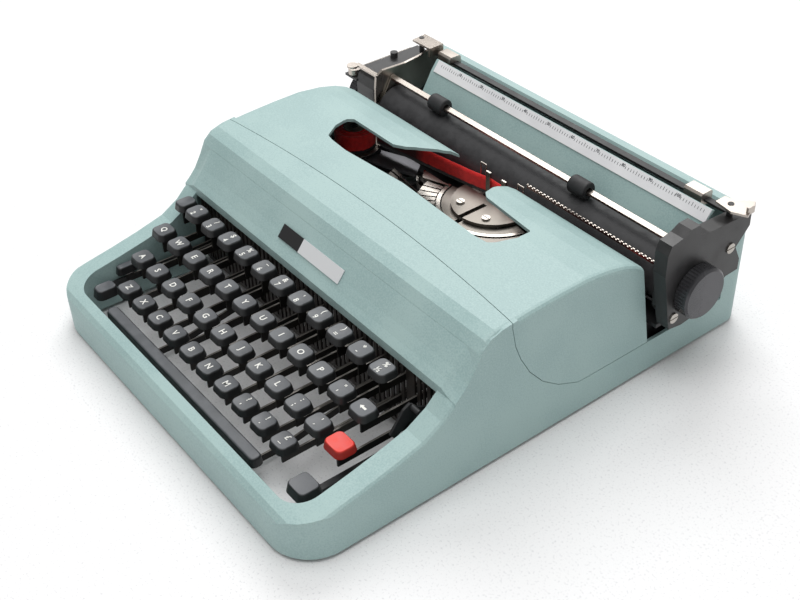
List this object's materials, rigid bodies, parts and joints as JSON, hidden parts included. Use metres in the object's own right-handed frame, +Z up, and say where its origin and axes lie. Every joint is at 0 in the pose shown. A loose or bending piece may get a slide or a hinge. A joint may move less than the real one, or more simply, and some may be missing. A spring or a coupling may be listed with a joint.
{
  "type": "portable typewriter",
  "caption": "Flat portable manual typewriter with an enamelled casing, dark keys, a lift-off ribbon cover and a travelling carriage with platen, paper bail and ruler.",
  "frame": {"origin": "on the supporting surface, under the middle of the machine's overall width and depth", "axes": "+X to the typist's right, +Y from the typist to the back, +Z up"},
  "size_m": [0.314, 0.325, 0.105],
  "materials": {
    "casing_enamel": "fine crinkled enamel, pale blue-green",
    "dark_steel": "satin black enamel",
    "key_plastic": "satin dark grey moulding",
    "red_plastic": "satin red moulding",
    "lever_steel": "bright pressed steel, lightly oiled",
    "black_plastic": "dark grey satin moulding",
    "nickel": "warm nickel plate",
    "rubber": "hard black rubber",
    "ribbon_fabric": "inked red and black ribbon",
    "ruler_aluminium": "pale satin metal with printed marks",
    "badge_metal": "two-tone satin plate, unlettered"
  },
  "bodies": {
    "machine_frame": {"lower_shell": "casing_enamel", "chassis_frame": "dark_steel", "rubber_feet": "rubber", "badge_plate": "badge_metal", "comb_plate": "dark_steel", "key_fulcrum_rod": "lever_steel", "type_segment": "lever_steel", "segment_screws": "lever_steel", "typebars": "lever_steel", "typebar_rest": "dark_steel", "carriage_rails": "lever_steel", "ribbon": "ribbon_fabric", "card_holders": "lever_steel", "margin_bell": "lever_steel"},
    "cover": {"top_cover": "casing_enamel"},
    "number_row_keys": {"number_row_keycaps": "key_plastic", "number_row_levers": "lever_steel"},
    "upper_row_keys": {"upper_row_keycaps": "key_plastic", "upper_row_levers": "lever_steel"},
    "home_row_keys": {"home_row_keycaps": "key_plastic", "home_row_levers": "lever_steel"},
    "bottom_row_keys": {"bottom_row_keycaps": "key_plastic", "bottom_row_levers": "lever_steel"},
    "action_key": {"home_row_action_key": "key_plastic"},
    "moving_typebar": {"action_typebar": "lever_steel"},
    "space_key": {"space_bar": "key_plastic"},
    "shift_keys": {"shift_keycaps": "key_plastic", "shift_frame": "dark_steel"},
    "shift_lock": {"shift_lock_key": "key_plastic"},
    "tab_lever": {"tab_key": "red_plastic"},
    "backspace_lever": {"backspace_key": "key_plastic"},
    "margin_release_lever": {"margin_release_key": "key_plastic"},
    "colour_lever": {"ribbon_selector": "dark_steel"},
    "left_spool": {"ribbon_spool_left": "nickel", "ribbon_winding_left": "ribbon_fabric"},
    "right_spool": {"ribbon_spool_right": "nickel", "ribbon_winding_right": "ribbon_fabric"},
    "vibrator": {"ribbon_vibrator": "lever_steel"},
    "spring_drum": {"mainspring_drum": "lever_steel"},
    "carriage": {"carriage_bed": "dark_steel", "paper_trough": "dark_steel", "left_side_plate": "nickel", "left_end_cover": "black_plastic", "right_end_plate": "black_plastic", "end_plate_screws": "lever_steel", "paper_table": "casing_enamel", "ruler": "ruler_aluminium", "margin_rail": "nickel", "aligning_scale": "nickel"},
    "platen_unit": {"platen": "rubber", "platen_shaft": "lever_steel", "platen_knobs": "black_plastic"},
    "bail": {"paper_bail": "nickel"},
    "bail_left_wheel": {"bail_roller_left": "rubber"},
    "bail_right_wheel": {"bail_roller_right": "rubber"},
    "left_stop": {"margin_stop_left": "nickel"},
    "right_stop": {"margin_stop_right": "nickel"},
    "line_lever": {"return_lever": "nickel"},
    "carriage_release": {"carriage_release_lever": "nickel"},
    "paper_release": {"paper_release_lever": "nickel"}
  },
  "joints": [
    {"name": "cover_lift", "type": "slide", "parent": "machine_frame", "child": "cover", "axis": [0, 0, 1], "range_m": [0, 0.06]},
    {"name": "number_row_press", "type": "hinge", "parent": "machine_frame", "child": "number_row_keys", "pos_m": [0, 0.0155, 0.024], "axis": [1, 0, 0], "range_deg": [0, 5.2], "stiffness_Nm_per_rad": 0.4, "springref_deg": -20.05},
    {"name": "upper_row_press", "type": "hinge", "parent": "machine_frame", "child": "upper_row_keys", "pos_m": [0, 0.0155, 0.024], "axis": [1, 0, 0], "range_deg": [0, 5], "stiffness_Nm_per_rad": 0.5, "springref_deg": -20.05},
    {"name": "home_row_press", "type": "hinge", "parent": "machine_frame", "child": "home_row_keys", "pos_m": [0, 0.0155, 0.024], "axis": [1, 0, 0], "range_deg": [0, 4.8], "stiffness_Nm_per_rad": 0.6, "springref_deg": -20.05},
    {"name": "bottom_row_press", "type": "hinge", "parent": "machine_frame", "child": "bottom_row_keys", "pos_m": [0, 0.0155, 0.024], "axis": [1, 0, 0], "range_deg": [0, 4.4], "stiffness_Nm_per_rad": 0.7, "springref_deg": -20.05},
    {"name": "action_key_press", "type": "hinge", "parent": "machine_frame", "child": "action_key", "pos_m": [0, 0.0155, 0.024], "axis": [1, 0, 0], "range_deg": [0, 4.8], "stiffness_Nm_per_rad": 0.08, "springref_deg": -20.05},
    {"name": "typebar_swing", "type": "hinge", "parent": "machine_frame", "child": "moving_typebar", "pos_m": [0.006, 0.0455, 0.026], "axis": [-1, 0, 0], "range_deg": [0, 88]},
    {"name": "space_bar_press", "type": "hinge", "parent": "machine_frame", "child": "space_key", "pos_m": [0, 0.0155, 0.024], "axis": [1, 0, 0], "range_deg": [0, 1.7], "stiffness_Nm_per_rad": 0.5, "springref_deg": -20.05},
    {"name": "shift_press", "type": "hinge", "parent": "machine_frame", "child": "shift_keys", "pos_m": [0, 0.0155, 0.024], "axis": [1, 0, 0], "range_deg": [0, 4], "stiffness_Nm_per_rad": 0.6, "springref_deg": -20.05},
    {"name": "shift_lock_press", "type": "hinge", "parent": "machine_frame", "child": "shift_lock", "pos_m": [0, 0.0155, 0.024], "axis": [1, 0, 0], "range_deg": [0, 2], "stiffness_Nm_per_rad": 0.06, "springref_deg": -20.05},
    {"name": "tab_press", "type": "hinge", "parent": "machine_frame", "child": "tab_lever", "pos_m": [0, 0.0155, 0.024], "axis": [1, 0, 0], "range_deg": [0, 4.6], "stiffness_Nm_per_rad": 0.1, "springref_deg": -20.05},
    {"name": "backspace_press", "type": "hinge", "parent": "machine_frame", "child": "backspace_lever", "pos_m": [0, 0.0155, 0.024], "axis": [1, 0, 0], "range_deg": [0, 4.8], "stiffness_Nm_per_rad": 0.1, "springref_deg": -20.05},
    {"name": "margin_release_press", "type": "hinge", "parent": "machine_frame", "child": "margin_release_lever", "pos_m": [0, 0.0155, 0.024], "axis": [1, 0, 0], "range_deg": [0, 2.5], "stiffness_Nm_per_rad": 0.08, "springref_deg": -20.05},
    {"name": "colour_lever_tilt", "type": "hinge", "parent": "machine_frame", "child": "colour_lever", "pos_m": [0.1126, -0.055, 0.036], "axis": [1, 0, 0], "range_deg": [-6, 6]},
    {"name": "left_spool_turn", "type": "hinge", "parent": "machine_frame", "child": "left_spool", "pos_m": [-0.107, 0.0505, 0.055], "axis": [0, 0, 1], "continuous": true},
    {"name": "right_spool_turn", "type": "hinge", "parent": "machine_frame", "child": "right_spool", "pos_m": [0.107, 0.0505, 0.055], "axis": [0, 0, 1], "continuous": true},
    {"name": "vibrator_lift", "type": "slide", "parent": "machine_frame", "child": "vibrator", "axis": [0, 0, 1], "range_m": [0, 0.008]},
    {"name": "drum_turn", "type": "hinge", "parent": "machine_frame", "child": "spring_drum", "pos_m": [-0.092, 0.1055, 0.015], "axis": [0, 0, 1], "range_deg": [-450, 450]},
    {"name": "carriage_travel", "type": "slide", "parent": "machine_frame", "child": "carriage", "axis": [1, 0, 0], "range_m": [-0.1, 0.084]},
    {"name": "platen_turn", "type": "hinge", "parent": "carriage", "child": "platen_unit", "pos_m": [0, 0.0959, 0.062], "axis": [1, 0, 0], "continuous": true},
    {"name": "bail_swing", "type": "hinge", "parent": "carriage", "child": "bail", "pos_m": [0, 0.0845, 0.066], "axis": [1, 0, 0], "range_deg": [0, 30], "stiffness_Nm_per_rad": 0.06, "springref_deg": -28.65},
    {"name": "bail_left_roll", "type": "hinge", "parent": "bail", "child": "bail_left_wheel", "pos_m": [-0.0722, 0.095, 0.0843], "axis": [1, 0, 0], "continuous": true},
    {"name": "bail_right_roll", "type": "hinge", "parent": "bail", "child": "bail_right_wheel", "pos_m": [0.059, 0.095, 0.0843], "axis": [1, 0, 0], "continuous": true},
    {"name": "left_stop_slide", "type": "slide", "parent": "carriage", "child": "left_stop", "axis": [1, 0, 0], "range_m": [0, 0.095]},
    {"name": "right_stop_slide", "type": "slide", "parent": "carriage", "child": "right_stop", "axis": [1, 0, 0], "range_m": [-0.095, 0]},
    {"name": "return_lever_swing", "type": "hinge", "parent": "carriage", "child": "line_lever", "pos_m": [-0.1518, 0.084, 0.082], "axis": [0, 0, 1], "range_deg": [0, 95]},
    {"name": "carriage_release_turn", "type": "hinge", "parent": "carriage", "child": "carriage_release", "pos_m": [0.1425, 0.1255, 0.1], "axis": [0, 0, -1], "range_deg": [0, 10], "stiffness_Nm_per_rad": 0.01, "springref_deg": -17.19},
    {"name": "paper_release_turn", "type": "hinge", "parent": "carriage", "child": "paper_release", "pos_m": [-0.129, 0.1255, 0.1], "axis": [0, 0, -1], "range_deg": [0, 12]}
  ],
  "couplings": [
    {"joint": "typebar_swing", "follows": "action_key_press", "ratio": 18.2},
    {"joint": "vibrator_lift", "follows": "action_key_press", "m_per_rad": 0.09},
    {"joint": "right_spool_turn", "follows": "left_spool_turn", "ratio": 1},
    {"joint": "drum_turn", "follows": "carriage_travel", "rad_per_m": 76.92}
  ]
}
